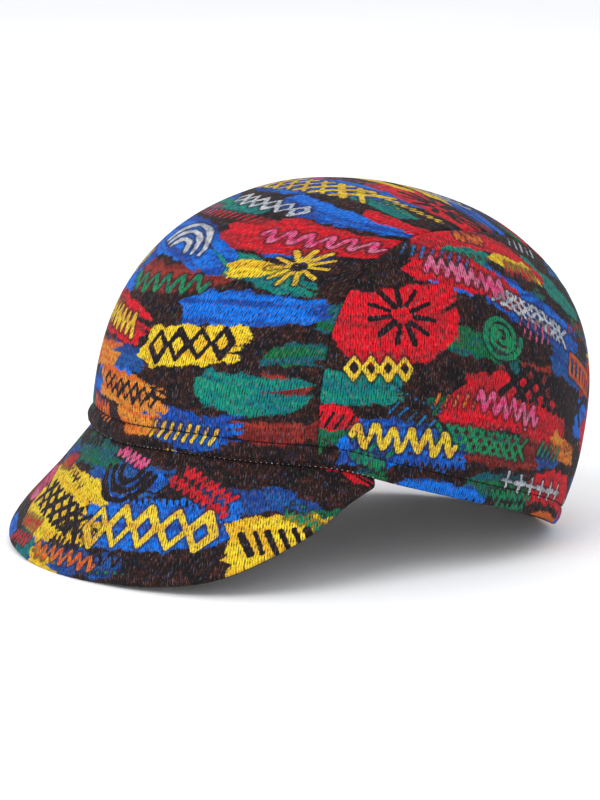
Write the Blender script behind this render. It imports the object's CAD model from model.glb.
"""The looks of a cycling cap: printed knit panels, a turned and stitched hem, and a cloth peak.

The crown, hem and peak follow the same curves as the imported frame, cut much finer. They are
worked out in millimetres with the cap level, as on a head: the peak points to -Y, the wearer's
left is +X and z is 0 at the front of the rim. Then the cap is tipped back to rest on a table.
"""
import math

import bpy
import numpy as np
from mathutils import Matrix, Vector


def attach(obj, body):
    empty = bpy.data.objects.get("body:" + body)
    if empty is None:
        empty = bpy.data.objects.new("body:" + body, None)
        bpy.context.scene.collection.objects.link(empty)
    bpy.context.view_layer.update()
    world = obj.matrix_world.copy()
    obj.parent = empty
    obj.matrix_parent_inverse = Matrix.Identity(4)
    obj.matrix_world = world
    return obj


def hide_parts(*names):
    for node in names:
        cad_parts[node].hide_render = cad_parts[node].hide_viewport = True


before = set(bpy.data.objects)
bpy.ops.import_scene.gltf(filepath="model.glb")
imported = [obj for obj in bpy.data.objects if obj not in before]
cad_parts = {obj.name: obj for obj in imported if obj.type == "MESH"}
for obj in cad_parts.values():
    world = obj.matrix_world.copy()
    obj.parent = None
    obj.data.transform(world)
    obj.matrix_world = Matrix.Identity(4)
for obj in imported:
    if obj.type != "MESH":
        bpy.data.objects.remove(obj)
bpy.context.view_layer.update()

MM = 0.001
TAU = 2 * math.pi
TINY = 1e-9

# The crown, as in the frame
CROWN_HEIGHT = 115
FRONT = {"reach": 98.3, "widest": 28, "keep": 2.3, "close": 1.73}
BACK = {"reach": 100.4, "widest": 36, "keep": 2.53, "close": 2.23}
SIDE = {"reach": 82.8, "widest": 14.5, "keep": 2.55, "close": 2.19}
RIM_RISE = 7.5
RIM_ROWS = [(0, 0), (20, 0.24), (40, 0.57), (60, 1.04), (75, 0.86), (90, 0.7), (120, 0.35),
            (145, -0.2), (180, -0.3)]
SEAM_ROWS = [(-0.543, 0.07), (-0.576, 0.296), (-0.55, 0.509), (-0.433, 0.696), (-0.189, 0.842),
             (0.12, 0.896), (0.408, 0.894), (0.632, 0.826), (0.805, 0.696), (0.911, 0.487),
             (0.925, 0.226), (0.854, -0.016)]
PANEL_WALL = 1.2

# The hem and the peak, as in the frame
HEM_WALL = 2.4
HEM_HEIGHT = 7.4
HEM_BULGE = 0.7
HEM_BULGE_AT_PEAK = 1.9
HEM_ROWS = [(0, 0.2), (0.3, 0.95), (0.65, 0.9), (1, 0)]
CLEARANCE = 0.3
PEAK_REACH = 54.5
PEAK_END_TURN = 69
PEAK_WALL = 2.6
PEAK_DROP_MIDDLE = 67
PEAK_DROP_END = 41
PEAK_DROP_BEND = 2.4
PEAK_ROWS = [(0, 1), (0.2, 0.995), (0.4, 0.97), (0.6, 0.868), (0.8, 0.553), (0.92, 0.234),
             (1, 0.05)]

# How the cap rests: tipped back onto its hem and its peak, then moved over the origin
REST_TIP = 13.3136
REST_SHIFT = (0, 6.978, 23.060)

# Cloth where it is sewn: how an edge rolls in, and the allowance inside a seam
SEAM_DEPTH, SEAM_WIDTH = 0.85, 1.7
FOOT_DEPTH, FOOT_WIDTH = 0.55, 1.2
ALLOWANCE_THICK, ALLOWANCE_WIDTH = 0.7, 5

# The ripples along a sewn line: how high and long they are, how much they wander, and how far
# from the line they fade
PUCKER = {"high": 0.16, "long": 7.5, "wander": 1.2, "fade": 4.5}
GATHER = {"high": 0.14, "long": 6.2, "wander": 1.4, "fade": 4.0}
HEM_RIPPLE = {"high": 0.16, "long": 6.2, "wander": 1.5}

# The soft unrest of the cloth between its sewn lines: how high and how long it is
PANEL_SOFT, HEM_SOFT, PEAK_SOFT = (0.35, 46), (0.25, 60), (0.18, 38)

# How finely the pieces are cut
CENTRE_COLUMNS, CENTRE_ROWS, SIDE_COLUMNS, HEM_COLUMNS, PEAK_COLUMNS = 160, 400, 260, 900, 300

# The folded hem: how round its lower fold is, its outer cloth's rows below the stitch line, the
# grooves where seams cross it, and the row that the lower stitches follow
HEM_ROUND = 1.25
HEM_FINE_ROWS = np.array([0, 0.1, 0.28, 0.5, 0.8, 1.2])
HEM_GROOVE, HEM_GROOVE_WIDTH = 0.7, 0.55
HEM_LUMP, HEM_LUMP_WIDTH = 0.45, 4.5
EDGE_STITCH_ROW = 12

# How far the knit of the peak runs aslant, as the photograph shows
PEAK_LEAN = 28

# The seeds of the print: the centre panel, both side panels and the peak
CENTRE_SEED, LEFT_SEED, RIGHT_SEED, PEAK_SEED = 12, 21, 57, 31


def smoothstep(x, low, high):
    t = np.clip((x - low) / (high - low), 0, 1)
    return t * t * (3 - 2 * t)


def lerp(a, b, t):
    return a + (b - a) * t


def unit(vectors):
    return vectors / np.maximum(np.linalg.norm(vectors, axis=-1, keepdims=True), TINY)


def read_rows(rows, at, level=False):
    """A smooth curve through the rows of a table, level at both ends where level is true."""
    key, value = np.array(rows, float).T
    slope = np.zeros(len(key))
    slope[1:-1] = (value[2:] - value[:-2]) / (key[2:] - key[:-2])
    if not level:
        slope[[0, -1]] = (np.diff(value) / np.diff(key))[[0, -1]]
    i = np.clip(np.searchsorted(key, at, side="left") - 1, 0, len(key) - 2)
    span = key[i + 1] - key[i]
    t = (at - key[i]) / span
    lean = slope[i] * t * (1 - t) ** 2 - slope[i + 1] * t * t * (1 - t)
    return lerp(value[i], value[i + 1], t * t * (3 - 2 * t)) + span * lean


def reach_at(z, side):
    """How far the crown reaches to one side at a height."""
    share = np.abs(z - side["widest"]) / (CROWN_HEIGHT - side["widest"])
    left = np.maximum(1 - np.minimum(share, 1) ** side["keep"], TINY)
    return side["reach"] * left ** (1 / side["close"])


def length_at(y, z):
    """How far the crown reaches at a height, to the front or the back, whichever y is on."""
    return np.where(y < 0, reach_at(z, FRONT), reach_at(z, BACK))


def crown_point(turn, z):
    """A point on the crown: turn is 0 over the nose, 90 over the left ear, 180 at the back."""
    turn, z = np.broadcast_arrays(np.asarray(turn, float), np.asarray(z, float))
    back = -np.cos(np.radians(turn))
    side = np.sin(np.radians(turn))
    return np.stack([reach_at(z, SIDE) * side, length_at(back, z) * back, z], -1)


def crown_measure(p):
    """How far out of the crown a point is: 1 on the crown, more outside it."""
    x, y, z = np.moveaxis(p, -1, 0)
    inside = (x / reach_at(z, SIDE)) ** 2 + (y / length_at(y, z)) ** 2
    return np.where(z >= CROWN_HEIGHT, 4.0, inside)


def onto_crown(points):
    """Moves points straight away from the middle of the crown until they lie on it."""
    middle = np.array([0, 0, SIDE["widest"]])
    ray = points - middle
    near = np.zeros(points.shape[:-1])
    far = near + 4
    for _ in range(34):
        half = (near + far) / 2
        out = crown_measure(middle + ray * half[..., None]) > 1
        far = np.where(out, half, far)
        near = np.where(out, near, half)
    return middle + ray * far[..., None]


def crown_normal(points):
    """The outward direction of the crown, which is straight up at its very top."""
    steps = np.eye(3) * 0.02
    slope = np.stack([crown_measure(points + s) - crown_measure(points - s) for s in steps], -1)
    near_top = smoothstep(points[..., 2], CROWN_HEIGHT - 3, CROWN_HEIGHT - 0.6)[..., None]
    up = points * [0.004, 0.004, 0] + [0, 0, 1.0]
    return unit(lerp(unit(slope), unit(up), near_top))


def rim_height(turn):
    around = np.abs((np.asarray(turn, float) + 540) % 360 - 180)
    return RIM_RISE * read_rows(RIM_ROWS, around, level=True)


def foot_line(turn):
    """The stitch line over the hem, where the panels end."""
    return crown_point(turn, rim_height(turn) + HEM_HEIGHT + CLEARANCE / 2)


def seam_point(share):
    """The seam of the left side panel, from its front end at 0 to its back end at 1."""
    rows = np.array(SEAM_ROWS) * [BACK["reach"], CROWN_HEIGHT]
    rows = np.vstack([2 * rows[0] - rows[1], rows, 2 * rows[-1] - rows[-2]])
    at = np.asarray(share, float) * (len(SEAM_ROWS) - 1)
    i = np.clip(np.floor(at).astype(int), 0, len(SEAM_ROWS) - 2)
    t = (at - i)[..., None]
    before, here, there, after = (rows[i + k] for k in range(4))
    bend = (2 * here + (there - before) * t + (2 * before - 5 * here + 4 * there - after) * t**2
            + (3 * here - before - 3 * there + after) * t**3) / 2
    y, z = bend[..., 0], bend[..., 1]
    x = reach_at(z, SIDE) * np.sqrt(np.maximum(1 - (y / length_at(y, z)) ** 2, 0))
    return np.stack([x, y, z], -1)


def turn_of(p):
    x, y, z = np.moveaxis(p, -1, 0)
    return np.degrees(np.arctan2(x / reach_at(z, SIDE), -y / length_at(y, z)))


def seam_foot(under, over):
    """The share of the seam where it meets the stitch line, between under and over it."""
    for _ in range(40):
        middle = (under + over) / 2
        p = seam_point(middle)
        if p[2] < foot_line(turn_of(p))[2]:
            under = middle
        else:
            over = middle
    return (under + over) / 2


FRONT_FOOT = seam_foot(0, 0.5)
BACK_FOOT = seam_foot(1, 0.5)
FRONT_TURN = float(turn_of(seam_point(FRONT_FOOT)))
BACK_TURN = float(turn_of(seam_point(BACK_FOOT)))


def seam_at(t):
    return seam_point(lerp(FRONT_FOOT, BACK_FOOT, np.asarray(t, float)))


def at_rest(points):
    """From the level cap in millimetres to the table in metres, pressed flat where it rests."""
    tip = math.radians(REST_TIP)
    x, y, z = np.moveaxis(points, -1, 0)
    moved = np.stack([x, y * math.cos(tip) + z * math.sin(tip),
                      z * math.cos(tip) - y * math.sin(tip)], -1) + REST_SHIFT
    moved[..., 2] = np.maximum(moved[..., 2], 0)
    return moved * MM


def lengths_along(points, axis):
    """The distance run along one axis of a grid of points, from its start."""
    steps = np.diff(points, axis=axis, prepend=np.take(points, [0], axis))
    return np.cumsum(np.linalg.norm(steps, axis=-1), axis=axis)


def nearest_on(line, points):
    """The distance of each point from a fine line, and how far along the line that is."""
    flat = points.reshape(-1, 3)
    along = lengths_along(line, 0)
    gaps, runs = [], []
    for part in np.array_split(flat, len(flat) // 4000 + 1):
        squares = (part**2).sum(1)[:, None] + (line**2).sum(1) - 2 * part @ line.T
        gaps.append(np.sqrt(np.maximum(squares.min(1), 0)))
        runs.append(along[squares.argmin(1)])
    shape = points.shape[:-1]
    return np.concatenate(gaps).reshape(shape), np.concatenate(runs).reshape(shape)


def rolled(gap, width, depth):
    """How deep cloth lies at a distance from a sewn edge, where it rolls in as a quarter round."""
    inside = np.clip(1 - gap / width, 0, 1)
    return depth * (1 - np.sqrt(1 - inside**2))


def waves(points, scale, seed):
    """Soft, even unrest of about -1 to 1 with the given wave length, the same each run."""
    rng = np.random.default_rng(seed)
    total = np.zeros(points.shape[:-1])
    for _ in range(7):
        direction = unit(rng.normal(size=3))
        phase = rng.uniform(0, TAU)
        total += np.sin(points @ direction * (TAU / (scale * rng.uniform(0.8, 1.5))) + phase)
    return total / 3.5


def ripple(look, run, unrest):
    """The ripples of a sewn line, at a run along it, moved to and fro by some unrest."""
    return look["high"] * np.sin(run * TAU / look["long"] + look["wander"] * unrest)


def soft_waves(look, points, seed):
    height, scale = look
    return height * waves(points, scale, seed)


# Meshes

def grid_faces(rows, columns, start=0, flip=False):
    j, i = np.meshgrid(np.arange(rows), np.arange(columns), indexing="ij")
    width = columns + 1
    a = (start + j * width + i).ravel()
    corners = [a, a + 1, a + 1 + width, a + width]
    return np.stack(corners[::-1] if flip else corners, 1)


def border_of(rows, columns, start=0):
    """The vertices round a grid, in order, as the grid's faces see them."""
    width = columns + 1
    low = np.arange(columns)
    right = np.arange(rows) * width + columns
    high = rows * width + np.arange(columns, 0, -1)
    left = np.arange(rows, 0, -1) * width
    return start + np.concatenate([low, right, high, left])


def add_object(name, data):
    thing = bpy.data.objects.new(name, data)
    bpy.context.scene.collection.objects.link(thing)
    return thing


def add_mesh(name, vertices, faces, materials, inside=None, values=None):
    """A smooth mesh at rest. Each vertex gets the named values, which the materials read."""
    mesh = bpy.data.meshes.new(name)
    mesh.from_pydata(at_rest(vertices).tolist(), [], faces)
    for material in materials:
        mesh.materials.append(material)
    if inside is not None:
        mesh.polygons.foreach_set("material_index", inside.astype(np.int32))
    mesh.polygons.foreach_set("use_smooth", np.ones(len(mesh.polygons), bool))
    mesh.validate()
    for key, numbers in (values or {}).items():
        attribute = mesh.attributes.new(key, "FLOAT", "POINT")
        attribute.data.foreach_set("value", np.ascontiguousarray(numbers, np.float32).ravel())
    return add_object(name, mesh)


def sheet_mesh(name, outer, inner, values, materials):
    """A closed sheet: a fine outer grid, an inner grid of every second point, and its border."""
    rows, columns = outer.shape[0] - 1, outer.shape[1] - 1
    half = rows // 2, columns // 2
    under = (rows + 1) * (columns + 1)
    edge = border_of(rows, columns)
    corner, between = edge[0::2], edge[1::2]
    low = border_of(*half, under)
    low_next = np.roll(low, -1)
    fans = np.concatenate([np.stack([corner, low, between], 1),
                           np.stack([between, low, low_next], 1),
                           np.stack([between, low_next, np.roll(corner, -1)], 1)])
    top, bottom = grid_faces(rows, columns), grid_faces(*half, under, flip=True)
    faces = top.tolist() + bottom.tolist() + fans.tolist()
    inside = np.repeat([0, 1, 0], [len(top), len(bottom), len(fans)])
    vertices = np.concatenate([outer.reshape(-1, 3), inner[::2, ::2].reshape(-1, 3)])
    both = {key: np.concatenate([grid.ravel(), grid[::2, ::2].ravel()])
            for key, grid in values.items()}
    return add_mesh(name, vertices, faces, materials, inside, both)


# The print: marks on a flat plan of each panel, in millimetres

# Each ink: its colour, the shade it is mixed with, and how ragged its edge is. They lie over
# each other in this order: brush patches first, then lines.
INK_LOOKS = {
    "maroon": ((0.15, 0.014, 0.014), (0.3, 0.03, 0.02), 2.8),
    "navy": ((0.01, 0.05, 0.24), (0.008, 0.1, 0.34), 2.8),
    "green": ((0.004, 0.13, 0.045), (0.005, 0.1, 0.13), 2.4),
    "teal": ((0.0, 0.16, 0.17), (0.002, 0.24, 0.16), 2.6),
    "blue": ((0.001, 0.16, 0.7), (0.006, 0.06, 0.34), 2.2),
    "red": ((0.7, 0.006, 0.018), (0.42, 0.012, 0.02), 2.2),
    "orange": ((0.66, 0.12, 0.012), (0.68, 0.26, 0.03), 2.2),
    "yellow": ((0.8, 0.58, 0.02), (0.74, 0.42, 0.015), 2.0),
    "pink": ((0.5, 0.03, 0.12), (0.55, 0.012, 0.04), 2.2),
    "black_line": ((0.008, 0.006, 0.009), (0.013, 0.009, 0.012), 0.7),
    "green_line": ((0.006, 0.25, 0.09), (0.004, 0.16, 0.1), 0.8),
    "blue_line": ((0.004, 0.15, 0.6), (0.005, 0.2, 0.34), 0.8),
    "red_line": ((0.6, 0.012, 0.02), (0.42, 0.012, 0.02), 0.8),
    "orange_line": ((0.68, 0.16, 0.015), (0.55, 0.07, 0.02), 0.8),
    "yellow_line": ((0.8, 0.58, 0.03), (0.68, 0.38, 0.03), 0.7),
    "white_line": ((0.6, 0.62, 0.64), (0.36, 0.4, 0.46), 0.8),
    "pink_line": ((0.74, 0.05, 0.2), (0.62, 0.16, 0.27), 0.8),
}

# Which lines stand out on a ground, and how each colour strays into others near it
LINES_ON = {
    "dark": "green blue red blue orange pink",
    "maroon": "yellow pink white green",
    "navy": "orange red blue green",
    "green": "white black red yellow",
    "teal": "black blue red",
    "blue": "black yellow black green",
    "red": "black pink white green",
    "orange": "black black red",
    "yellow": "black",
    "pink": "black red",
}
STRAYS = {
    "dark": "dark maroon dark navy blue green",
    "maroon": "dark red orange dark",
    "navy": "dark blue teal",
    "green": "teal dark yellow green",
    "teal": "green blue dark",
    "blue": "navy dark dark red",
    "red": "maroon dark green dark",
    "orange": "red yellow dark",
    "yellow": "yellow orange yellow",
    "pink": "red maroon",
}
SMALL_MOTIFS = "zigzag ticks dots wave ticks dots wave ticks zigzag"

# How far apart small patches and rows of marks are laid, along the brush and across it
PATCH_PITCH = (36, 15)
MARK_PITCH = (33, 13)

# A patch is brushed in lanes, each with bristles of its own
SWEEP_WIDTH = 4.6
LANES = 24
BRISTLES = 200
RAGGED = 2.6

# How far from a stroke a distance is still told apart
FAR = 6.0

# The designs, laid by hand. A sweep is a broad brush patch: its ink, place, length, width and
# turn. Small patches and marks of a colour gather round its zones. A feature is a large mark:
# its ink, motif, place, length, height, count, turn and width of line. Small marks stay off the
# sides of a plan by its inset.

# Across runs to the wearer's left, along from the front over the top to the back
CENTRE_PRINT = {
    "low": (-82, -12), "high": (82, 362), "inset": 34,
    "sweeps": [
        ("red", 44, 85, 66, 20, 6), ("blue", -6, 76, 66, 21, -8), ("teal", 36, 65, 56, 11, -12),
        ("maroon", 0, 56, 68, 13, 5), ("blue", 44, 48, 56, 14, 4), ("red", -20, 38, 54, 17, -4),
        ("orange", -26, 22, 38, 10, 3), ("yellow", 30, 32, 44, 15, 8),
        ("orange", 2, 12, 44, 12, -6), ("teal", 56, 16, 44, 14, 0), ("navy", -8, 24, 38, 10, 0),
        ("green", -38, 6, 40, 14, 6), ("blue", 34, 2, 46, 11, 0), ("navy", -42, 56, 44, 18, 10),
        ("teal", -16, 98, 60, 11, 5), ("blue", 40, 104, 56, 13, -4), ("blue", -2, 126, 86, 27, 6),
        ("red", 38, 150, 52, 18, -6), ("yellow", -30, 158, 50, 19, 0),
        ("blue", 16, 174, 66, 19, 8), ("green", -22, 194, 56, 15, -6), ("red", 30, 210, 64, 21, 4),
        ("orange", -22, 224, 46, 12, 0), ("blue", -10, 246, 60, 19, -8),
        ("maroon", 36, 250, 46, 16, 6), ("yellow", 8, 276, 58, 18, 4),
        ("teal", -26, 292, 38, 12, 0), ("red", 34, 290, 46, 14, 4), ("blue", 10, 308, 56, 12, 0),
        ("maroon", -34, 312, 40, 12, 0), ("red", 10, 326, 56, 14, 4),
        ("green", -18, 342, 46, 13, -4), ("orange", 26, 346, 36, 12, 4),
    ],
    "zones": {
        "red": [(-52, 8), (-8, 60), (42, 96), (0, 136), (40, 142), (-36, 174), (44, 228),
                (-20, 296), (20, 330)],
        "blue": [(-16, 6), (44, 10), (-40, 60), (54, 70), (-12, 112), (10, 186), (40, 256),
                 (-10, 348)],
        "dark": [(-18, 32), (46, 40), (12, 88), (-44, 118), (44, 198), (-36, 232)],
        "green": [(68, 40), (24, 62), (8, 160), (6, 276), (26, 354)],
        "maroon": [(66, 12), (-20, 84), (44, 168), (-30, 262)],
        "yellow": [(16, 34), (-46, 88), (4, 242), (-16, 322)],
        "teal": [(-50, 34), (30, 116), (10, 216)],
        "orange": [(16, 4), (-30, 204)],
        "navy": [(-40, 146), (30, 292)],
    },
    "features": [
        ("black", "diamonds", 28, 32, 36, 11, 4, 8, 2.1),
        ("yellow", "spiral", -40, 62, 25, 23, 3, 15, 2.2),
        ("white", "arches", -4, 76, 30, 15, 3, -6, 2.2),
        ("green", "wave", 2, 54, 44, 7, 6, 6, 1.7),
        ("yellow", "burst", 50, 70, 20, 20, 11, 0, 1.8),
        ("black", "diamonds", 2, 12, 34, 7, 7, -6, 1.4),
        ("yellow", "zigzag", -20, 37, 36, 8, 8, -4, 1.7),
        ("pink", "wave", 46, 86, 40, 8, 6, 6, 1.7),
        ("yellow", "lattice", -4, 126, 62, 16, 8, 6, 2.0),
        ("white", "diamonds", 8, 104, 40, 8, 6, -4, 1.5),
        ("black", "burst", 38, 152, 26, 18, 11, 0, 2.4),
        ("black", "wave", -34, 162, 40, 11, 4, -6, 2.0),
        ("white", "spiral", 16, 178, 22, 20, 3, 40, 1.7),
        ("black", "zigzag", 30, 212, 46, 12, 7, 4, 2.4),
        ("yellow", "diamonds", -12, 246, 40, 12, 5, -8, 1.8),
        ("black", "wave", 10, 276, 42, 11, 5, 4, 2.2),
        ("white", "wave", 6, 326, 36, 8, 5, 4, 1.7),
    ],
}

# Across runs from the front to the back, along runs up
SIDE_PRINT = {
    "low": (-92, -60), "high": (122, 70), "inset": 24,
    "sweeps": [
        ("red", -36, 13, 54, 30, 14), ("red", -6, 38, 54, 16, -10), ("blue", 32, 27, 60, 17, -14),
        ("navy", 58, 10, 38, 14, -10), ("red", 20, -9, 72, 21, -4), ("green", -4, 10, 46, 9, -8),
        ("teal", -52, -13, 38, 11, 4), ("blue", -30, -30, 52, 17, 2),
        ("maroon", 10, -27, 54, 11, 0), ("orange", 58, -22, 26, 9, -8),
        ("red", 58, -37, 50, 13, -4), ("green", 22, -40, 46, 9, 0), ("blue", -12, -46, 46, 9, 0),
        ("blue", 78, -8, 36, 14, -8), ("green", -72, -34, 28, 12, 0), ("red", -64, -25, 28, 10, 8),
        ("red", 6, 56, 70, 12, -3), ("teal", 50, 42, 44, 10, -24), ("blue", 96, 16, 44, 15, -30),
        ("red", 98, -14, 40, 16, -14), ("green", 84, 40, 44, 12, -34),
        ("maroon", 98, -34, 36, 12, -6), ("blue", 92, -50, 44, 12, 0),
        ("orange", 56, -52, 36, 10, 0),
    ],
    "zones": {
        "red": [(-54, -34), (-20, 12), (8, 22), (4, -6), (76, 10), (102, 0), (96, -50)],
        "dark": [(-58, -6), (-26, -16), (34, 14), (34, -36), (52, 24), (62, -24)],
        "blue": [(-48, 22), (4, -34), (58, 0), (98, -26)],
        "green": [(-26, -38), (28, 36), (94, 34)],
        "navy": [(-30, 40)],
        "teal": [(0, 44)],
        "maroon": [(30, -12)],
        "yellow": [(70, -40)],
    },
    "features": [
        ("black", "burst", -36, 17, 26, 22, 11, 0, 2.0),
        ("pink", "zigzag", -6, 37, 36, 7, 8, -10, 1.7),
        ("yellow", "wave", -30, -29, 42, 8, 6, 2, 2.1),
        ("white", "lattice", 28, 27, 38, 7, 8, -14, 1.3),
        ("green", "spiral", 8, 15, 20, 18, 3, 0, 2.0),
        ("pink", "wave", 14, -11, 34, 7, 6, -4, 1.6),
        ("black", "lattice", 40, -2, 50, 12, 6, -4, 2.4),
        ("yellow", "diamonds", -44, -4, 26, 8, 4, 6, 1.6),
        ("green", "lattice", 4, -25, 38, 8, 8, 0, 1.5),
        ("white", "plusses", 40, -38, 40, 6, 6, -2, 1.5),
        ("orange", "ladder", 66, 10, 26, 8, 7, -10, 1.8),
        ("yellow", "lattice", 94, 16, 24, 7, 5, -30, 1.4),
    ],
}

# Across runs to the wearer's left, along from the rim outward
PEAK_PRINT = {
    "low": (-112, -22), "high": (112, 62), "inset": 20,
    "sweeps": [
        ("blue", 36, 27, 68, 22, -14), ("navy", 12, 13, 42, 14, 0), ("yellow", -20, 30, 52, 30, 10),
        ("yellow", 92, 12, 48, 26, -30), ("navy", 4, 49, 64, 11, -2),
        ("maroon", -54, 22, 44, 22, 14), ("green", -14, 6, 36, 11, 0),
        ("green", 92, 3, 26, 10, -40), ("navy", 64, 6, 36, 10, -20),
    ],
    "zones": {
        "blue": [(36, 14), (30, 38), (56, 26), (-60, 12), (96, 0)],
        "yellow": [(80, 10), (-8, 16), (-8, 42)],
        "dark": [(-84, 4), (8, 4), (60, 6)],
        "navy": [(-36, 22)],
        "teal": [(-30, 44)],
    },
    "features": [
        ("yellow", "diamonds", 36, 28, 58, 15, 5, -14, 2.8),
        ("black", "arches", 14, 15, 26, 14, 3, 0, 2.8),
        ("black", "wave", 36, 42, 34, 5, 6, -12, 1.3),
        ("black", "dots", 12, 29, 22, 7, 8, -8, 1.3),
        ("black", "ticks", 42, 15, 40, 3, 16, -14, 0.9),
        ("black", "dots", 56, 37, 36, 4, 13, -16, 1.1),
        ("black", "zigzag", 12, 36, 26, 2.6, 10, -8, 0.8),
        ("black", "lattice", -18, 31, 38, 11, 5, 10, 2.2),
        ("orange", "wave", 4, 48, 40, 5, 7, -2, 1.6),
        ("black", "ticks", 90, 12, 32, 9, 8, -30, 2.4),
        ("pink", "spiral", -52, 24, 20, 18, 3, 0, 1.9),
    ],
}


def pick(words, share):
    words = words.split()
    return words[int(share * len(words))]


def turned(path, turn, at=(0, 0)):
    c, s = math.cos(math.radians(turn)), math.sin(math.radians(turn))
    x, y = np.asarray(path, float).T
    return np.stack([x * c - y * s + at[0], x * s + y * c + at[1]], 1)


def spread(length, count):
    return np.linspace(-length / 2, length / 2, count)


def bar(x, height, lean=0.0):
    return np.array([[x - lean, -height / 2], [x + lean, height / 2]])


def zigzag(length, height, count):
    steps = 2 * count + 1
    return [np.stack([spread(length, steps), height * (np.arange(steps) % 2 - 0.5)], 1)]


def wave(length, height, count):
    x = spread(length, 10 * count + 1)
    return [np.stack([x, height / 2 * np.sin(x / length * TAU * count)], 1)]


def spiral(length, height, count):
    t = np.linspace(0.1, 1, 13 * count)
    angle = t * count * TAU
    return [np.stack([length / 2 * t * np.cos(angle), height / 2 * t * np.sin(angle)], 1)]


def burst(length, height, count):
    angles = np.arange(count) * TAU / count
    tips = np.stack([length / 2 * np.cos(angles), height / 2 * np.sin(angles)], 1)
    return [np.stack([0.35 * tip, tip]) for tip in tips]


def ticks(length, height, count):
    return [bar(x, height, height * 0.2) for x in spread(length, count)]


def plusses(length, height, count):
    half = height / 2
    return [path for x in spread(length, count)
            for path in (bar(x, height), np.array([[x - half, 0], [x + half, 0]]))]


def dots(length, height, count):
    rows = max(int(height / 4), 1)
    return [np.array([[x, y], [x + 0.3, y]])
            for y in spread(height, rows + 2)[1:-1] for x in spread(length, count)]


def ladder(length, height, count):
    rails = [np.array([[-length / 2, y], [length / 2, y]]) for y in (-height / 2, height / 2)]
    return rails + [bar(x, height) for x in spread(length, count)]


def arches(length, height, count):
    angle = np.linspace(0.03, 0.97, 14) * math.pi
    bow = np.stack([length / 2 * np.cos(angle), height * np.sin(angle) - height / 2], 1)
    shares = 1 - np.arange(count) / (count + 0.4)
    return [bow * share - [0, height / 2 * (1 - share)] for share in shares]


def diamonds(length, height, count):
    half = length / count * 0.44
    shape = np.array([[-half, 0], [0, height / 2], [half, 0], [0, -height / 2], [-half, 0]])
    return [shape + [x, 0] for x in (np.arange(count) + 0.5 - count / 2) * length / count]


def lattice(length, height, count):
    lean = length / count * 0.8
    return [bar(x, height, side * lean) for x in spread(length, count + 1) for side in (1, -1)]


MOTIFS = {motif.__name__: motif for motif in (zigzag, wave, spiral, burst, ticks, plusses, dots,
                                              ladder, arches, diamonds, lattice)}


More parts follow.
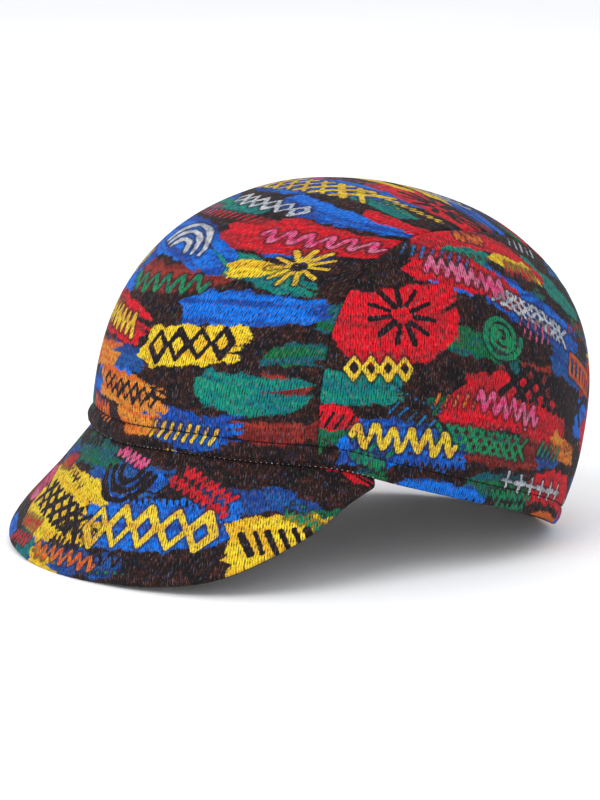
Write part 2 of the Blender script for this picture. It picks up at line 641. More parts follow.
class Plan:
    """The print of a panel: for each ink, how far each vertex lies outside the ink's marks.

    Each random draw is made whether or not a mark comes near a vertex, so that the hem, which
    reads the plan of the panel over it, gets the same marks as the panel.
    """

    def __init__(self, design, seed, across, along):
        self.design = design
        self.places = np.stack([across.ravel(), along.ravel()], 1)
        self.gaps = {ink: np.full(len(self.places), FAR) for ink in INK_LOOKS}
        self.grain = np.full(len(self.places), 0.5)
        self.random = np.random.default_rng(seed)

    def near(self, low, high, margin):
        within = (self.places > low - margin) & (self.places < high + margin)
        return np.flatnonzero(within.all(1))

    def patch(self, ink, at, length, width, turn):
        """Side by side brush sweeps with ragged ends, which run dry at one end."""
        starts = self.random.normal(size=LANES)
        bristles = self.random.normal(size=BRISTLES)
        bow = self.random.uniform(-0.008, 0.008)
        taper = self.random.uniform(0.02, 0.3)
        reach = math.hypot(length, width) / 2
        picked = self.near(np.array(at) - reach, np.array(at) + reach, 3 * RAGGED)
        x, y = turned(self.places[picked] - at, -turn).T
        y = y + bow * x**2
        lane = np.clip((y + width / 2) / SWEEP_WIDTH + 4, 0, LANES - 1)
        start = np.interp(lane, np.arange(LANES), starts)
        numbers = np.arange(BRISTLES)
        bristle = np.interp((lane * 3.7) % (BRISTLES - 1), numbers, bristles)
        edge = np.interp(((x + length) * 0.3) % (BRISTLES - 1), numbers, bristles[::-1])
        tip = np.abs(x) + taper * length / 2 * smoothstep(np.abs(y) / width, 0.1, 0.6)
        end_gap = tip - length / 2 - RAGGED * (0.8 * start * np.sign(x) + 0.35 * bristle)
        narrow = width / 2 * (1 - 0.2 * smoothstep(x / length, -0.1, 0.6))
        side_gap = np.abs(y) - narrow - 0.3 * RAGGED * edge
        dry_gap = 1.6 * (bristle - lerp(3.0, 0.45, smoothstep(x / length, -0.1, 0.62)))
        gap = np.maximum(np.maximum(end_gap, side_gap), dry_gap)
        self.gaps[ink][picked] = np.minimum(self.gaps[ink][picked], gap)
        self.grain[picked] = np.where(gap < 1, 0.5 + 0.22 * bristle, self.grain[picked])

    def stroke(self, ink, path, width):
        """A brush line through some points, now wider and now narrower."""
        swell = np.sin(np.arange(len(path)) * 0.9 + self.random.uniform(0, 6))
        halves = width / 2 * (1 + 0.28 * swell)
        picked = self.near(path.min(0), path.max(0), 4)
        if not len(picked):
            return
        here = self.places[picked]
        best = np.full(len(picked), FAR)
        for start, end, thick, thin in zip(path, path[1:], halves, halves[1:]):
            run = end - start
            share = np.clip((here - start) @ run / max(run @ run, TINY), 0, 1)
            gap = np.linalg.norm(here - start - share[:, None] * run, axis=1)
            best = np.minimum(best, gap - lerp(thick, thin, share))
        self.gaps[ink][picked] = np.minimum(self.gaps[ink][picked], best)

    def motif(self, ink, kind, at, length, height, count, turn, width):
        for path in MOTIFS[kind](length, height, count):
            shaken = path + self.random.normal(scale=0.07 * width + 0.04, size=path.shape)
            self.stroke(ink + "_line", turned(shaken, turn, at), width)

    def cells(self, inset, pitch):
        """The middles of a shaken grid of cells."""
        low, high = self.design["low"], self.design["high"]
        for v in np.arange(low[1], high[1], pitch[1]):
            start = low[0] + inset + self.random.uniform(0, pitch[0])
            for u in np.arange(start, high[0] - inset, pitch[0]):
                yield np.array([u, v]) + self.random.uniform(-0.35, 0.35, 2) * pitch

    def colour_at(self, at):
        """The colour of the nearest zone, or now and then one that strays in."""
        zones = self.design["zones"]
        main = min(zones, key=lambda colour: min(math.dist(at, zone) for zone in zones[colour]))
        stray, choice = self.random.uniform(size=2)
        return pick(STRAYS[main], choice) if stray < 0.38 else main

    def lay_patches(self):
        """Small patches here and there, where the ground would be bare."""
        for at in self.cells(0, PATCH_PITCH):
            ink = self.colour_at(at)
            draws = self.random.uniform(size=3)
            turn = self.random.normal(scale=11)
            if draws[0] < 0.7 and ink != "dark":
                self.patch(ink, at, lerp(18, 40, draws[1]), lerp(6, 12, draws[2]), turn)

    def lay_marks(self):
        """One or two rows of small marks, clear of the large ones."""
        for at in self.cells(self.design["inset"], MARK_PITCH):
            ground = self.colour_at(at)
            draws = self.random.uniform(size=7)
            turn = self.random.normal(scale=8)
            crowded = any(abs(at[0] - u) < length / 2 + 7 and abs(at[1] - v) < height / 2 + 2
                          for _, _, u, v, length, height, *_ in self.design["features"])
            if draws[0] < 0.06 or crowded:
                continue
            ink = pick(LINES_ON[ground], draws[1])
            height = lerp(3.2, 6.5, draws[3] ** 1.6)
            rows = 2 if draws[4] > 0.4 and height < 5 else 1
            for row in range(rows):
                choice, share = self.random.uniform(size=2)
                length = lerp(16, 34, draws[2]) * lerp(0.7, 1, share)
                place = turned([[0, (row - (rows - 1) / 2) * -1.4 * height]], turn, at)[0]
                self.motif(ink, pick(SMALL_MOTIFS, choice), place, length, height,
                           max(int(length / 3.0), 5), turn, lerp(0.8, 1.25, draws[5]))


def paint(design, seed, across, along):
    """The whole print of a panel, as a grid of numbers for each ink."""
    plan = Plan(design, seed, across, along)
    for ink, u, v, length, width, turn in design["sweeps"]:
        plan.patch(ink, (u, v), length, width, turn)
    plan.lay_patches()
    plan.lay_marks()
    for ink, kind, u, v, *rest in design["features"]:
        plan.motif(ink, kind, (u, v), *rest)
    return {key: numbers.reshape(across.shape)
            for key, numbers in {**plan.gaps, "grain": plan.grain}.items()}


# The materials

RIB_PITCH = 0.95
COURSE_PITCH = 0.8

# The ground's two blacks, its scumbles (colour, scale and where each starts) and its rust
GROUND = (0.006, 0.005, 0.0065), (0.016, 0.008, 0.007)
SCUMBLES = [((0.075, 0.017, 0.01), 0.34, 0.53), ((0.01, 0.025, 0.07), 0.27, 0.56),
            ((0.008, 0.045, 0.03), 0.4, 0.58)]
BLOTCH = (0.012, 0.01, 0.013)
RUST = (0.1, 0.024, 0.016)

# What darkens the inks: a halo round each line, dirt, and the gaps between the loops
HALO = (0.014, 0.012, 0.016)
DIRT = (0.014, 0.01, 0.01)
GAP = (0.012, 0.01, 0.012)

# The pale yarn that shows in the grooves
YARN = (0.2, 0.21, 0.24), (0.26, 0.08, 0.06)


class Shader:
    """Short calls that add nodes to a material and join them."""

    def __init__(self, name):
        self.material = bpy.data.materials.new(name)
        self.material.use_nodes = True
        self.tree = self.material.node_tree
        self.surface = self.tree.nodes["Principled BSDF"]

    def feed(self, socket, value):
        if isinstance(value, bpy.types.NodeSocket):
            self.tree.links.new(value, socket)
        else:
            socket.default_value = value

    def node(self, kind, inputs, output=0, **settings):
        """Adds a node, feeds it, and returns one of its outputs."""
        node = self.tree.nodes.new("ShaderNode" + kind)
        for key, value in settings.items():
            setattr(node, key, value)
        for key, value in inputs.items():
            self.feed(node.inputs[key], value)
        return node.outputs[output]

    def value(self, name):
        return self.node("Attribute", {}, "Fac", attribute_name=name)

    def math(self, operation, *values):
        return self.node("Math", dict(enumerate(values)), operation=operation)

    def times(self, value, by, add=0.0):
        return self.math("MULTIPLY_ADD", value, by, add)

    def swing(self, value):
        """A wave between 0 and 1."""
        return self.times(self.math("SINE", value), 0.5, 0.5)

    def ramp(self, value, low, high, out_low=0.0, out_high=1.0):
        inputs = dict(enumerate((value, low, high, out_low, out_high)))
        return self.node("MapRange", inputs, interpolation_type="SMOOTHSTEP")

    def mix(self, share, first, second, blend="MIX"):
        first, second = ((*c, 1) if isinstance(c, tuple) else c for c in (first, second))
        inputs = {0: share, 6: first, 7: second}
        return self.node("Mix", inputs, 2, data_type="RGBA", blend_type=blend)

    def cover(self, colour, over, value, low, high, share=1.0):
        """Lays a colour over another one as a value goes from low to high."""
        return self.mix(self.ramp(value, low, high, 0, share), colour, over)

    def dimmed(self, colour, by):
        return self.mix(1.0, colour, self.place(by, by, by), "MULTIPLY")

    def noise(self, place, scale, detail=2.0, rough=0.5):
        inputs = {"Vector": place, "Scale": scale, "Detail": detail, "Roughness": rough}
        return self.node("TexNoise", inputs, "Fac", noise_dimensions="3D")

    def place(self, x, y, z=0.0):
        return self.node("CombineXYZ", {0: x, 1: y, 2: z})

    def finish(self, **inputs):
        """Feeds the surface. Its names have spaces where these have underscores."""
        for name, value in inputs.items():
            self.feed(self.surface.inputs[name.replace("_", " ")], value)
        return self.material


def knit(shader):
    """The ribs of the knit and the loops along them, from 0 in a groove to 1 on a rib."""
    wale, course = shader.value("wale"), shader.value("course")
    flat = shader.place(wale, course)
    bent = shader.times(shader.noise(flat, 0.25, 1.0), 0.6, wale)
    side = shader.math("FLOOR", shader.math("DIVIDE", bent, RIB_PITCH))
    rib = shader.swing(shader.times(bent, TAU / RIB_PITCH))
    loop = shader.swing(shader.times(course, TAU / COURSE_PITCH, shader.times(side, math.pi)))
    return wale, course, flat, rib, loop


def finish_knit(shader, colour, rib, loop):
    relief = {"Strength": 0.55, "Distance": 0.16 * MM, "Height": shader.times(loop, 0.3, rib)}
    return shader.finish(Base_Color=colour, Normal=shader.node("Bump", relief),
                         Roughness=shader.times(rib, -0.1, 0.86), Specular_IOR_Level=0.12,
                         Sheen_Weight=0.02, Sheen_Roughness=0.4)


def ground_colour(shader, flat, tone, blotch, dash):
    """A near black ground with faint scumbles of other colours."""
    colour = shader.cover(*GROUND, tone, 0.4, 0.62)
    for number, (scumble, scale, start) in enumerate(SCUMBLES):
        move = {0: flat, 1: (31.0 * number + 7, 17.0 * number, 0)}
        cloud = shader.noise(shader.node("VectorMath", move, operation="ADD"), scale, 4.0, 0.62)
        colour = shader.cover(colour, scumble, cloud, start, start + 0.14, 0.75)
    colour = shader.cover(colour, BLOTCH, blotch, 0.56, 0.7, 0.5)
    rust = shader.times(shader.ramp(dash, 0.52, 0.64), shader.ramp(tone, 0.42, 0.6))
    return shader.mix(shader.times(rust, 0.62), colour, RUST)


def printed_knit(name):
    """Knit cloth with the print on it, its pale yarn showing through in the grooves."""
    shader = Shader(name)
    wale, course, flat, rib, loop = knit(shader)
    tone = shader.noise(flat, 0.11, 3.0)
    blotch = shader.noise(flat, 0.6, 3.0, 0.6)
    dirt = shader.noise(flat, 1.7, 3.0, 0.7)
    streak = shader.noise(shader.place(shader.times(wale, 1.9), shader.times(course, 0.42)), 1.0)
    dash = shader.noise(shader.place(shader.times(wale, 1.5), shader.times(course, 0.5), 40.0), 1.0)
    brush = shader.math("ADD", shader.times(tone, 0.9, -0.45), shader.times(blotch, 0.5, -0.25))
    brush = shader.math("ADD", brush, shader.value("grain"))
    colour = ground_colour(shader, flat, tone, blotch, dash)
    for ink, (main, second, ragged) in INK_LOOKS.items():
        rough = shader.times(blotch, ragged * 1.2, -0.6 * ragged)
        dry = shader.times(streak, ragged * 1.5, -0.75 * ragged)
        edge = shader.math("ADD", shader.value(ink), shader.math("ADD", rough, dry))
        if ink.endswith("_line") and ink != "black_line":
            colour = shader.cover(colour, HALO, edge, 1.5, 0.5, 0.72)
        shade = shader.cover(main, second, brush, 0.32, 0.72)
        colour = shader.cover(colour, shade, edge, 0.2, -0.2)
    colour = shader.cover(colour, DIRT, dirt, 0.55, 0.68, 0.75)
    gap = shader.times(shader.ramp(dash, 0.52, 0.4), shader.ramp(rib, 0.98, 0.25))
    colour = shader.mix(shader.times(gap, 0.88), colour, GAP)
    groove = shader.ramp(shader.math("SUBTRACT", 1.0, rib), 0.3, 0.9)
    speck = shader.times(shader.ramp(streak, 0.53, 0.66), groove)
    yarn = shader.cover(*YARN, blotch, 0.4, 0.56)
    colour = shader.mix(shader.times(speck, 0.42), colour, yarn)
    shadow = shader.times(shader.times(rib, 0.3, 0.7), shader.ramp(streak, 0.3, 0.7, 0.66, 1.2))
    return finish_knit(shader, shader.dimmed(colour, shadow), rib, loop)


def plain_knit(name, colour, second):
    shader = Shader(name)
    _, _, flat, rib, loop = knit(shader)
    mixed = shader.cover(colour, second, shader.noise(flat, 0.5), 0.35, 0.65)
    return finish_knit(shader, shader.dimmed(mixed, shader.times(rib, 0.25, 0.75)), rib, loop)


def thread_material(name, colour, second):
    shader = Shader(name)
    twist = shader.noise(shader.node("TexCoord", {}, "Object"), 1400.0)
    relief = {"Strength": 0.3, "Distance": 0.05 * MM, "Height": twist}
    return shader.finish(Base_Color=shader.cover(colour, second, twist, 0.4, 0.6),
                         Normal=shader.node("Bump", relief), Roughness=0.6,
                         Specular_IOR_Level=0.1)


# The panels

SEAM_LINE = seam_at(np.linspace(0, 1, 1200))
FOOT_LINE = foot_line(np.linspace(0, 360, 2400))


def panel(name, points, print_values, wale, course, seed, materials):
    """Rolls cloth in at its seams, gives it the small unrest of sewn cloth, and closes it."""
    left_gap, left_run = nearest_on(SEAM_LINE, points)
    right_gap, right_run = nearest_on(SEAM_LINE * [-1, 1, 1], points)
    foot_gap, foot_run = nearest_on(FOOT_LINE, points)
    seam_gap = np.minimum(left_gap, right_gap)
    seam_run = np.where(left_gap < right_gap, left_run, right_run)
    edge_gap = np.minimum(seam_gap, foot_gap)
    deep = np.maximum(rolled(seam_gap, SEAM_WIDTH, SEAM_DEPTH),
                      rolled(foot_gap, FOOT_WIDTH, FOOT_DEPTH))
    pucker = ripple(PUCKER, seam_run, waves(points, 24, seed + 1))
    pucker *= np.exp(-seam_gap / PUCKER["fade"])
    gather = ripple(GATHER, foot_run, waves(points, 30, seed + 2))
    gather *= np.exp(-foot_gap / GATHER["fade"])
    soft = soft_waves(PANEL_SOFT, points, seed) * smoothstep(edge_gap, 2, 16)
    lift = smoothstep(edge_gap, 0, 3) * (pucker + gather) + soft - deep
    allowance = ALLOWANCE_THICK * smoothstep(seam_gap, ALLOWANCE_WIDTH, ALLOWANCE_WIDTH - 1.5)
    normals = crown_normal(points)
    outer = points + normals * lift[..., None]
    inner = points - normals * (PANEL_WALL + allowance)[..., None]
    values = {"wale": wale, "course": course, **print_values}
    return sheet_mesh(name, outer, inner, values, materials)


def clustered(steps, edge, length):
    """Shares from 0 to 1 that start and end with fine steps, edge millimetres deep."""
    fine = np.array([0, 0.12, 0.3, 0.52, 0.78, 1.0]) * edge / length
    inner = np.linspace(fine[-1], 1 - fine[-1], steps - 2 * (len(fine) - 1) + 1)
    return np.concatenate([fine[:-1], inner, 1 - fine[-2::-1]])


def centre_grid():
    """Columns run from the right seam to the left one, rows from the front to the back."""
    s = clustered(CENTRE_COLUMNS, 2.4, 130)
    t = np.linspace(0, 1, CENTRE_ROWS + 1)
    low = foot_line(lerp(-FRONT_TURN, FRONT_TURN, s))[None]
    high = foot_line(lerp(-BACK_TURN, BACK_TURN - 360, s))[None]
    right = seam_at(t)[:, None]
    left = right * [-1, 1, 1]
    s, t = s[None, :, None], t[:, None, None]
    corners = (left[:1] * (1 - s) * (1 - t) + right[:1] * s * (1 - t)
               + left[-1:] * (1 - s) * t + right[-1:] * s * t)
    return onto_crown(left * (1 - s) + right * s + low * (1 - t) + high * t - corners)


def centre_plan(points):
    """Across: along each row from its middle. Along: up each column, further back its middle."""
    across, along = lengths_along(points, 1), lengths_along(points, 0)
    middle = slice(across.shape[1] // 2, across.shape[1] // 2 + 1)
    share = smoothstep(np.linspace(0, 1, len(points)), 0.08, 0.7)[:, None]
    return across - across[:, middle], lerp(along, along[:, middle], share)


def side_grid():
    """Rows run from the stitch line at 0 to the seam at 1, which meet at both corners."""
    s = np.linspace(0, 1, SIDE_COLUMNS + 1)
    fine = np.array([0, 0.004, 0.01, 0.018, 0.028, 0.04])
    t = np.concatenate([fine[:-1], np.linspace(0.04, 0.96, 125), 1 - fine[-2::-1]])[:, None, None]
    ease = 0.5 - 0.5 * np.cos(math.pi * s)
    low = foot_line(lerp(FRONT_TURN, BACK_TURN, lerp(s, ease, 0.35)))
    high = seam_at(lerp(s, ease, -0.25))
    return onto_crown(low * (1 - t) + high * t)


SIDE_MIDDLE = crown_point(92, 52)


def side_plan(points):
    """Distances from the middle of the side panel, backward and up, as if laid flat."""
    out = crown_normal(SIDE_MIDDLE)
    back = unit(np.array([0, 1.0, 0]) - out * out[1])
    up = np.cross(out, back)
    up = up * np.sign(up[2])
    gap = points - SIDE_MIDDLE
    a, b = gap @ back, gap @ up
    flat = np.maximum(np.hypot(a, b), TINY)
    arc = 200 * np.arcsin(np.clip(np.linalg.norm(gap, axis=-1) / 200, 0, 1))
    return a * arc / flat, b * arc / flat


# The hem

def hem_section(turns):
    """The hem's section at each turn: the cloth turned in and sewn, with a round lower fold.

    Gives the points, the way out of the crown and how far each row lies below the stitch line.
    """
    foot = crown_point(turns, rim_height(turns))
    up = unit(crown_point(turns, rim_height(turns) + HEM_HEIGHT) - foot)
    after, before = (crown_point(turns + a, rim_height(turns + a)) for a in (1, -1))
    out = unit(np.cross(after - before, up))
    run = lengths_along(foot, 0)
    seams = np.interp([FRONT_TURN, BACK_TURN, 360 - BACK_TURN, 360 - FRONT_TURN], turns, run)
    apart = np.min(np.abs(run[:, None] - seams), axis=1)
    groove = HEM_GROOVE * np.exp(-(apart / HEM_GROOVE_WIDTH) ** 2)
    lump = HEM_LUMP * np.exp(-(apart / HEM_LUMP_WIDTH) ** 2)
    unrest = ripple(HEM_RIPPLE, run, waves(foot, 26, 5)) + soft_waves(HEM_SOFT, foot, 6) + lump
    past_peak = smoothstep(np.minimum(turns, 360 - turns) / PEAK_END_TURN, 0.7, 1.3)
    bulge = lerp(HEM_BULGE_AT_PEAK, HEM_BULGE, past_peak)[:, None]

    outer_high = HEM_HEIGHT + CLEARANCE / 2
    outer_heights = np.concatenate([outer_high - HEM_FINE_ROWS,
                                    np.linspace(outer_high - 1.8, HEM_ROUND, 8)])
    belly = np.sin(math.pi * np.clip(outer_heights / outer_high, 0, 1))
    outer = (read_rows(HEM_ROWS, np.minimum(outer_heights / HEM_HEIGHT, 1)) * bulge
             + belly * unrest[:, None] - groove[:, None]
             - rolled(outer_high - outer_heights, FOOT_WIDTH, FOOT_DEPTH))

    angles = np.linspace(0, math.pi, 12)[1:-1]
    lower = HEM_ROWS[0][1] * bulge
    middle, half = (lower - HEM_WALL) / 2, (lower + HEM_WALL) / 2
    fade = smoothstep((1 - np.cos(angles)) / 2, 0, 0.5)
    fold = middle + half * np.cos(angles) + lerp(outer[:, -1:] - lower, 0, fade)

    inner_heights = [HEM_ROUND, HEM_HEIGHT * 0.55, outer_high - 0.4, outer_high]
    inner = np.full((len(turns), 4), -HEM_WALL) + [0, 0, 0, 0.5]

    heights = np.concatenate([outer_heights, HEM_ROUND * (1 - np.sin(angles)), inner_heights])
    depths = np.hstack([outer, fold, inner])[..., None]
    points = foot[:, None] + up[:, None] * heights[:, None] + out[:, None] * depths
    return points, out, outer_high - heights


def run_from_middle(low, high, turns):
    """How far along the stitch line turns lie from the middle between two turns."""
    at = np.linspace(low, high, 400)
    run = lengths_along(foot_line(at), 0)
    return np.interp(turns, at, run - run[200])


def add_hem(materials, centre_length):
    """Adds the hem, and gives the line of its lower stitches with the way out along it."""
    turns = np.linspace(0, 360, HEM_COLUMNS, endpoint=False)
    points, out, drop = hem_section(turns)
    count, size = points.shape[:2]
    here, row = np.arange(count) * size, np.arange(size)[:, None]
    there, after = np.roll(here, -1), (row + 1) % size
    faces = np.stack([here + after, there + after, there + row, here + row], -1).reshape(-1, 4)
    inside = np.repeat(np.arange(size) >= size - 4, count)

    signed = np.where(turns > 180, turns - 360, turns)
    front, back = np.abs(signed) < FRONT_TURN, np.abs(signed) > BACK_TURN
    beside = foot_line(turns)
    beside[:, 0] = np.abs(beside[:, 0])
    side_across, side_along = side_plan(beside)
    across = np.where(front, run_from_middle(-FRONT_TURN, FRONT_TURN, signed),
                      np.where(back, -run_from_middle(BACK_TURN, 360 - BACK_TURN, turns),
                               side_across))
    start = np.where(front, 0.0, np.where(back, centre_length, side_along))
    across = np.repeat(across[:, None], size, 1)
    along = start[:, None] + np.where(back, 1.0, -1.0)[:, None] * drop
    middle, left, right = (paint(design, seed, across, along) for design, seed in (
        (CENTRE_PRINT, CENTRE_SEED), (SIDE_PRINT, LEFT_SEED), (SIDE_PRINT, RIGHT_SEED)))
    on_middle, on_left = (front | back)[:, None], (turns < 180)[:, None]
    values = {key: np.where(on_middle, middle[key], np.where(on_left, left[key], right[key]))
              for key in middle}
    values = {"wale": across, "course": along, **values}
    piece = add_mesh("hem", points.reshape(-1, 3), faces.tolist(), materials, inside, values)

    at_front = np.flatnonzero(np.abs(signed) < PEAK_END_TURN + 3)
    at_front = at_front[np.argsort(signed[at_front])]
    return piece, points[at_front, EDGE_STITCH_ROW], out[at_front]


# The peak

def peak_grid():
    """Across from the wearer's right to the left; rows from under the hem to the outer edge.

    Gives the points, how far each lies from the outer edge, and where it lies on a flat plan.
    """
    across = np.linspace(-1, 1, PEAK_COLUMNS + 1)
    step = 1 / 40
    begin, after, before = (crown_point(a * PEAK_END_TURN, rim_height(a * PEAK_END_TURN))
                            for a in (across, across + step, across - step))
    ahead = after - before
    level = unit(np.stack([ahead[:, 1], -ahead[:, 0], 0 * across], 1))
    drop = np.radians(lerp(PEAK_DROP_MIDDLE, PEAK_DROP_END, np.abs(across) ** PEAK_DROP_BEND))
    reach = PEAK_REACH * read_rows(PEAK_ROWS, np.abs(across))
    up = np.array([0, 0, 1.0])
    out = level * np.cos(drop)[:, None] - up * np.sin(drop)[:, None]
    edge = PEAK_WALL / 2 * (1 - np.cos(np.linspace(0, math.pi / 2, 7)))
    tuck = [(-1.2, 0.95), (-0.6, 0.6)]
    rows = [begin + level * inward + up * (rise - CLEARANCE) for inward, rise in tuck]
    gaps = [reach + 1 for _ in tuck]
    full = reach - edge[-1]
    runs = [share * full for share in np.linspace(0, 1, 67)] + [reach - e for e in edge[-2::-1]]
    for run in runs:
        rows.append(begin + out * run[:, None] - up * CLEARANCE)
        gaps.append(reach - run)
    gap = np.stack(gaps)
    return np.stack(rows), gap, *peak_plan(begin, level, drop, reach - gap)


def peak_plan(begin, level, drop, out_run):
    """Lays the peak flat: its rim bends less than it does in place, as the peak slopes down."""
    heading = np.unwrap(np.arctan2(level[:, 1], level[:, 0]))
    turn = np.concatenate([[0], np.cumsum(np.diff(heading) * np.cos(drop)[1:])])
    middle = len(turn) // 2
    turn = turn - turn[middle]
    steps = np.linalg.norm(np.diff(begin, axis=0), axis=1)
    between = (turn[1:] + turn[:-1]) / 2
    x, y = (np.concatenate([[0], np.cumsum(steps * part)])
            for part in (np.cos(between), np.sin(between)))
    return (x - x[middle] + out_run * np.sin(turn),
            y[middle] - y + out_run * np.cos(turn))


def add_peak(materials):
    points, gap, across, along = peak_grid()
    normals = unit(np.cross(np.gradient(points, axis=1), np.gradient(points, axis=0)))
    normals = normals * np.sign(normals[..., 2:].mean())
    radius = PEAK_WALL / 2
    dip = radius - np.sqrt(np.maximum(radius**2 - np.maximum(radius - gap, 0) ** 2, 0))
    soft = soft_waves(PEAK_SOFT, points, 17) * smoothstep(gap, 1, 8)
    outer = points + normals * (soft - dip)[..., None]
    inner = points - normals * (PEAK_WALL - dip)[..., None]
    wale, course = turned(np.stack([across.ravel(), along.ravel()], 1), PEAK_LEAN).T
    values = {"wale": wale.reshape(gap.shape), "course": course.reshape(gap.shape),
              **paint(PEAK_PRINT, PEAK_SEED, across, along)}
    return sheet_mesh("peak_cloth", outer, inner, values, materials)


# The stitches

def stitch_tube(points, normals, radius, sides=6):
    """A short thread along some points, round, with closed ends."""
    ahead = unit(np.gradient(points, axis=0))
    beside = unit(np.cross(ahead, normals))
    above = np.cross(beside, ahead)
    angle = np.arange(sides) * TAU / sides
    taper = np.ones(len(points))
    taper[[0, -1]] = 0.45
    ring = (beside[:, None] * np.cos(angle)[None, :, None]
            + above[:, None] * np.sin(angle)[None, :, None])
    vertices = (points[:, None] + ring * (radius * taper)[:, None, None]).reshape(-1, 3)
    faces = []
    for start in range(0, (len(points) - 1) * sides, sides):
        for i in range(sides):
            j = (i + 1) % sides
            faces.append((start + i, start + j, start + sides + j, start + sides + i))
    last = (len(points) - 1) * sides
    return vertices, faces + [tuple(range(sides - 1, -1, -1)), tuple(range(last, last + sides))]


def add_stitches(name, line, normals, length, space, radius, deep, material, uneven=0.0):
    """Stitches of one length along a line, each dipping into the cloth at its ends."""
    rng = np.random.default_rng(5)
    run = lengths_along(line, 0)
    count = int(run[-1] / (length + space))
    vertices, faces = [], []
    for k in range(count):
        at = (k + 0.5) * run[-1] / count + np.linspace(-0.5, 0.5, 6) * length
        at = np.clip(at, 0, run[-1])
        middle, out = (np.stack([np.interp(at, run, part[:, axis]) for axis in range(3)], 1)
                       for part in (line, normals))
        out = unit(out)
        sink = deep + radius * np.array([1.6, 0.2, -0.3, -0.3, 0.2, 1.6])
        sink += uneven * rng.uniform(-0.3, 1)
        tube, quads = stitch_tube(middle - out * sink[:, None], out, radius)
        used = k * len(tube)
        vertices.append(tube)
        faces += [tuple(i + used for i in face) for face in quads]
    return add_mesh(name, np.concatenate(vertices), faces, [material])


cloth = [printed_knit("printed_knit"),
         plain_knit("inside_knit", (0.5, 0.48, 0.47), (0.42, 0.4, 0.41))]
peak_cloth = [cloth[0], plain_knit("under_knit", (0.014, 0.012, 0.015), (0.02, 0.015, 0.016))]
thread = thread_material("dark_thread", (0.003, 0.003, 0.004), (0.01, 0.009, 0.011))
hole = thread_material("needle_holes", (0.42, 0.4, 0.4), (0.2, 0.2, 0.22))

centre_points = centre_grid()
across, along = centre_plan(centre_points)
centre_length = float(along[-1, along.shape[1] // 2])
dressed = [(panel("centre_cloth", centre_points, paint(CENTRE_PRINT, CENTRE_SEED, across, along),
                  across, along, seed=3, materials=cloth), "centre_panel", "centre_knit")]

# The right side is the left one mirrored, which turns its columns round
side_points = side_grid()
for side, mirror, print_seed, seed in [("left", 1, LEFT_SEED, 4), ("right", -1, RIGHT_SEED, 8)]:
    points = side_points[:, ::-mirror]
    across, along = side_plan(points)
    piece = panel(side + "_side_cloth", points * [mirror, 1, 1],
                  paint(SIDE_PRINT, print_seed, across, along), across, along, seed, cloth)
    dressed.append((piece, side + "_side_panel", "side_knit"))

hem, edge_line, edge_out = add_hem(cloth, centre_length)
dressed += [(hem, "turned_hem", "hem_knit"), (add_peak(peak_cloth), "peak", "peak_knit")]
for piece, node, slot in dressed:
    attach(piece, "root")
    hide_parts(node)

ring_line = foot_line(np.linspace(0, 360, 3000))
hole_turns = np.linspace(-PEAK_END_TURN, PEAK_END_TURN, 1600)
hole_line = crown_point(hole_turns, rim_height(hole_turns) + 0.5)
hole_out = crown_normal(hole_line)
for piece in [
    add_stitches("hem_thread", ring_line, crown_normal(ring_line), length=2.5, space=0.45,
                 radius=0.17, deep=FOOT_DEPTH - 0.3, material=thread),
    add_stitches("edge_thread", edge_line, edge_out, length=2.3, space=0.5,
                 radius=0.16, deep=0.0, material=thread),
    add_stitches("needle_holes", hole_line + hole_out * 0.78, hole_out, length=0.6, space=1.35,
                 radius=0.17, deep=0.0, material=hole, uneven=0.2),
]:
    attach(piece, "root")


# The floor, the light and the camera

FLOOR_HALF = 9
LIGHT_TARGET = Vector((0, 0, 0.06))

# The camera: where it stands round the part, and where it looks, from the photograph
CAMERA_TURN = 55.02
CAMERA_HEIGHT = 9.25
CAMERA_ROLL = 0.72
CAMERA_DISTANCE = 1.4
CAMERA_TARGET = Vector((0, 0.018492, 0.071716))
SENSOR = 36
PICTURE_WIDTH, PICTURE_HEIGHT = 600, 800
FOCAL_PIXELS = 2.61 * 1400
TARGET_PIXEL = (352.2, 347.25)


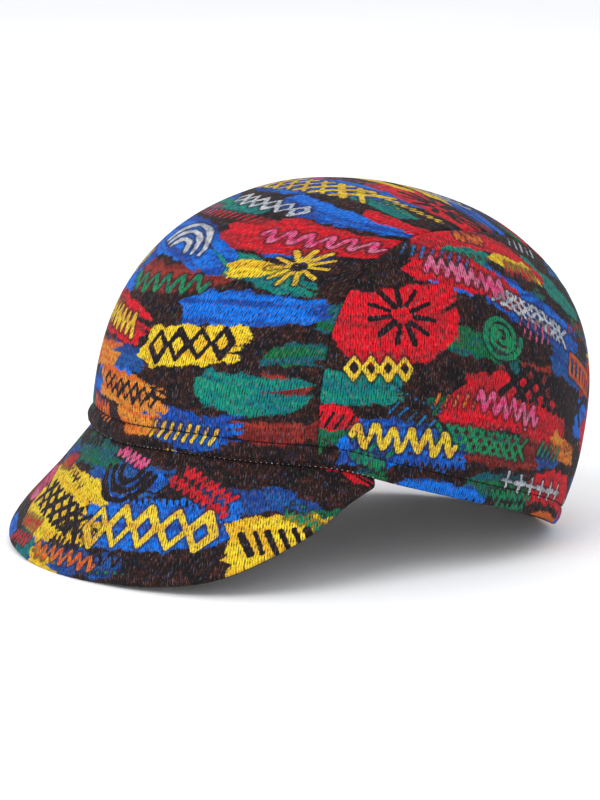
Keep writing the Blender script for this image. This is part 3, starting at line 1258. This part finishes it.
def add_floor():
    mesh = bpy.data.meshes.new("floor")
    corners = [(x * FLOOR_HALF, y * FLOOR_HALF, 0) for x, y in ((-1, -1), (1, -1), (1, 1), (-1, 1))]
    mesh.from_pydata(corners, [], [(0, 1, 2, 3)])
    shader = Shader("floor_paper")
    grain = shader.noise(shader.node("TexCoord", {}, "Object"), 3.0)
    paper = shader.cover((0.93, 0.93, 0.93), (0.95, 0.95, 0.95), grain, 0.3, 0.7)
    mesh.materials.append(shader.finish(Base_Color=paper, Roughness=0.9))
    add_object("floor", mesh)


def add_light(name, place, size, power):
    light = bpy.data.lights.new(name, "AREA")
    light.shape = "DISK"
    light.size = size
    light.energy = power
    lamp = add_object(name, light)
    lamp.location = place
    lamp.rotation_euler = (LIGHT_TARGET - lamp.location).to_track_quat("-Z", "Y").to_euler()


def add_camera():
    turn, height = math.radians(CAMERA_TURN), math.radians(CAMERA_HEIGHT)
    roll = math.radians(CAMERA_ROLL)
    back = Vector((math.sin(turn) * math.cos(height), -math.cos(turn) * math.cos(height),
                   math.sin(height)))
    level = Vector((math.cos(turn), math.sin(turn), 0))
    right = level * math.cos(roll) + back.cross(level) * math.sin(roll)
    up = back.cross(right)
    # The target isn't in the middle of the picture, so the camera looks a little past it
    aside = (PICTURE_WIDTH / 2 - TARGET_PIXEL[0]) / FOCAL_PIXELS
    above = (TARGET_PIXEL[1] - PICTURE_HEIGHT / 2) / FOCAL_PIXELS
    z = -(-back + right * aside + up * above).normalized()
    x = up.cross(z).normalized()
    camera = bpy.data.cameras.new("camera")
    camera.sensor_width = SENSOR
    camera.lens = SENSOR * FOCAL_PIXELS / PICTURE_HEIGHT
    camera.clip_start, camera.clip_end = 0.05, 60
    holder = add_object("camera", camera)
    place = Matrix.Translation(CAMERA_TARGET + back * CAMERA_DISTANCE)
    holder.matrix_world = place @ Matrix((x, z.cross(x), z)).transposed().to_4x4()
    bpy.context.scene.camera = holder


add_floor()
add_camera()
add_light("key", (0.6, -1.75, 1.7), size=1.6, power=25)
add_light("back", (-1.2, 1.2, 1.8), size=1.5, power=7)
add_light("low", (1.4, -1.65, 0.4), size=1.2, power=11)

world = bpy.data.worlds.new("studio")
world.use_nodes = True
world.node_tree.nodes["Background"].inputs["Color"].default_value = (0.96, 0.97, 1, 1)
world.node_tree.nodes["Background"].inputs["Strength"].default_value = 1.0
bpy.context.scene.world = world
bpy.context.scene.view_settings.view_transform = "Standard"
